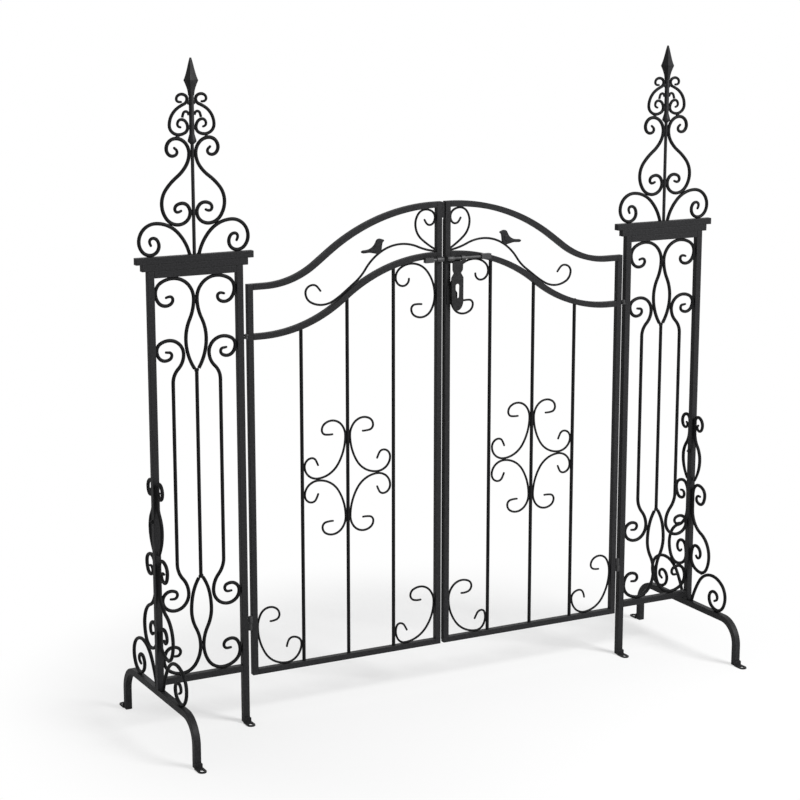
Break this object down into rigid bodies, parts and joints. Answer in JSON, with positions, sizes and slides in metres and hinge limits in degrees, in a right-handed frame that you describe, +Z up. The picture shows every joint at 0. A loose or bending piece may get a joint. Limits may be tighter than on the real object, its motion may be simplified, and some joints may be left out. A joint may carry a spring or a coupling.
{
  "type": "wrought iron garden gate",
  "caption": "Double garden gate of black wrought iron between open scrollwork columns, with arched leaves, spear finials, birds and a sliding bolt latch.",
  "frame": {"origin": "on the floor under the middle of the gate, in the plane of its bars", "axes": "+Z up, +X along the gate to the right as seen from the front, +Y to the rear; the front with the latch faces -Y"},
  "size_m": [1.884, 0.619, 1.888],
  "materials": {
    "black_iron": "satin black powder coat, slightly hammered"
  },
  "bodies": {
    "columns": {"left_outer_post": "black_iron", "left_inner_post": "black_iron", "left_foot_arch": "black_iron", "left_top_rail": "black_iron", "left_bottom_rail": "black_iron", "left_cap_lower_slab": "black_iron", "left_cap_upper_slab": "black_iron", "left_front_bracket": "black_iron", "left_rear_bracket": "black_iron", "left_middle_rod": "black_iron", "left_side_bars": "black_iron", "left_lens_scrolls": "black_iron", "left_finial_scrolls": "black_iron", "left_spear": "black_iron", "left_hinge_pins": "black_iron", "right_outer_post": "black_iron", "right_inner_post": "black_iron", "right_foot_arch": "black_iron", "right_top_rail": "black_iron", "right_bottom_rail": "black_iron", "right_cap_lower_slab": "black_iron", "right_cap_upper_slab": "black_iron", "right_front_bracket": "black_iron", "right_rear_bracket": "black_iron", "right_middle_rod": "black_iron", "right_side_bars": "black_iron", "right_lens_scrolls": "black_iron", "right_finial_scrolls": "black_iron", "right_spear": "black_iron", "right_hinge_pins": "black_iron"},
    "left_leaf": {"left_leaf_hinge_stile": "black_iron", "left_leaf_meeting_stile": "black_iron", "left_leaf_bottom_rail": "black_iron", "left_leaf_upper_arch_rail": "black_iron", "left_leaf_lower_arch_rail": "black_iron", "left_leaf_bars": "black_iron", "left_leaf_rosette": "black_iron", "left_leaf_corner_scrolls": "black_iron", "left_leaf_arch_scrolls": "black_iron", "left_leaf_bird": "black_iron", "left_hinge_barrels": "black_iron", "latch_keeper": "black_iron"},
    "right_leaf": {"right_leaf_hinge_stile": "black_iron", "right_leaf_meeting_stile": "black_iron", "right_leaf_bottom_rail": "black_iron", "right_leaf_upper_arch_rail": "black_iron", "right_leaf_lower_arch_rail": "black_iron", "right_leaf_bars": "black_iron", "right_leaf_rosette": "black_iron", "right_leaf_corner_scrolls": "black_iron", "right_leaf_arch_scrolls": "black_iron", "right_leaf_bird": "black_iron", "right_hinge_barrels": "black_iron", "bolt_guides": "black_iron", "locking_tab": "black_iron"},
    "bolt": {"bolt": "black_iron"},
    "hasp": {"hasp": "black_iron"}
  },
  "joints": [
    {"name": "left_leaf_swing", "type": "hinge", "parent": "columns", "child": "left_leaf", "pos_m": [-0.62425, -0.008, 0.7], "axis": [0, 0, -1], "range_deg": [0, 95]},
    {"name": "right_leaf_swing", "type": "hinge", "parent": "columns", "child": "right_leaf", "pos_m": [0.62425, -0.008, 0.7], "axis": [0, 0, 1], "range_deg": [0, 95]},
    {"name": "bolt_slide", "type": "slide", "parent": "right_leaf", "child": "bolt", "axis": [1, 0, 0], "range_m": [-0.022, 0]},
    {"name": "hasp_swing", "type": "hinge", "parent": "bolt", "child": "hasp", "pos_m": [0.058, -0.016, 1.2977], "axis": [-1, 0, 0], "range_deg": [0, 100]}
  ]
}
